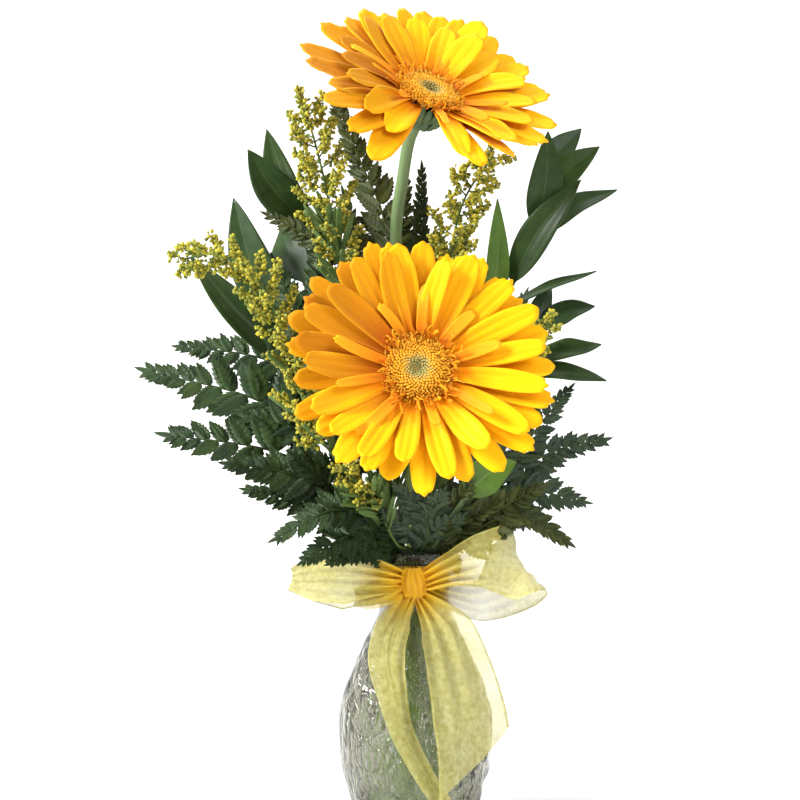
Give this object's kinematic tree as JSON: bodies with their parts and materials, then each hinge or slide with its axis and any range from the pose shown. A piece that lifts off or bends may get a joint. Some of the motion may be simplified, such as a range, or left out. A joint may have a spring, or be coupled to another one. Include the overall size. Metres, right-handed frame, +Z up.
{
  "type": "gerberas in a vase",
  "caption": "Gerberas with fern, ruscus and goldenrod standing in a clear dimpled bud vase with an organza bow at its neck.",
  "frame": {"origin": "centre of the flat underside of the vase, on the surface it stands on", "axes": "+Z up along the vase's axis; the flowers face -Y; +X is to the right as seen from in front of the flowers"},
  "size_m": [0.2111, 0.1224, 0.3609],
  "materials": {
    "glass": "clear pressed glass with a dimpled outside",
    "water": "still clear water",
    "organza": "sheer yellow organza ribbon with woven edges",
    "petals": "soft satin petals, finely ribbed along their length",
    "disc": "matt packed florets, olive in the middle and yellow outside",
    "bracts": "matt green overlapping bracts",
    "flower_stem": "downy pale green stem",
    "fern": "leathery dark green leaflets",
    "branch_stem": "smooth green stem",
    "ruscus_leaf": "glossy dark green leaf with fine long veins",
    "goldenrod": "matt clusters of small yellow buds"
  },
  "bodies": {
    "root": {"vase": "glass", "water": "water", "ribbon_neck_band": "organza", "ribbon_knot": "organza", "bow_loop_left": "organza", "bow_loop_right": "organza", "ribbon_tail_left": "organza", "ribbon_tail_right": "organza", "front_gerbera_stem": "flower_stem", "front_gerbera_calyx": "bracts", "front_gerbera_petals_back": "petals", "front_gerbera_petals_front": "petals", "front_gerbera_petals_short": "petals", "front_gerbera_disc": "disc", "upper_gerbera_stem": "flower_stem", "upper_gerbera_calyx": "bracts", "upper_gerbera_petals_back": "petals", "upper_gerbera_petals_front": "petals", "upper_gerbera_petals_short": "petals", "upper_gerbera_disc": "disc", "fern_left": "fern", "fern_front_left": "fern", "fern_left_high": "fern", "fern_back_left": "fern", "fern_back_centre": "fern", "fern_back_right": "fern", "fern_right": "fern", "fern_right_low": "fern", "fern_front_centre": "fern", "ruscus_left_stem": "branch_stem", "ruscus_left_leaf_1": "ruscus_leaf", "ruscus_left_leaf_2": "ruscus_leaf", "ruscus_left_leaf_3": "ruscus_leaf", "ruscus_left_leaf_4": "ruscus_leaf", "ruscus_left_leaf_5": "ruscus_leaf", "ruscus_right_upper_stem": "branch_stem", "ruscus_right_upper_leaf_1": "ruscus_leaf", "ruscus_right_upper_leaf_2": "ruscus_leaf", "ruscus_right_upper_leaf_3": "ruscus_leaf", "ruscus_right_upper_leaf_4": "ruscus_leaf", "ruscus_right_upper_leaf_5": "ruscus_leaf", "ruscus_right_upper_leaf_6": "ruscus_leaf", "ruscus_right_upper_leaf_7": "ruscus_leaf", "ruscus_right_lower_stem": "branch_stem", "ruscus_right_lower_leaf_1": "ruscus_leaf", "ruscus_right_lower_leaf_2": "ruscus_leaf", "ruscus_right_lower_leaf_3": "ruscus_leaf", "ruscus_right_lower_leaf_4": "ruscus_leaf", "ruscus_right_lower_leaf_5": "ruscus_leaf", "ruscus_low_stem": "branch_stem", "ruscus_low_leaf_1": "ruscus_leaf", "goldenrod_left": "goldenrod", "goldenrod_top": "goldenrod", "goldenrod_centre": "goldenrod", "goldenrod_low": "goldenrod", "goldenrod_right": "goldenrod"}
  },
  "joints": []
}
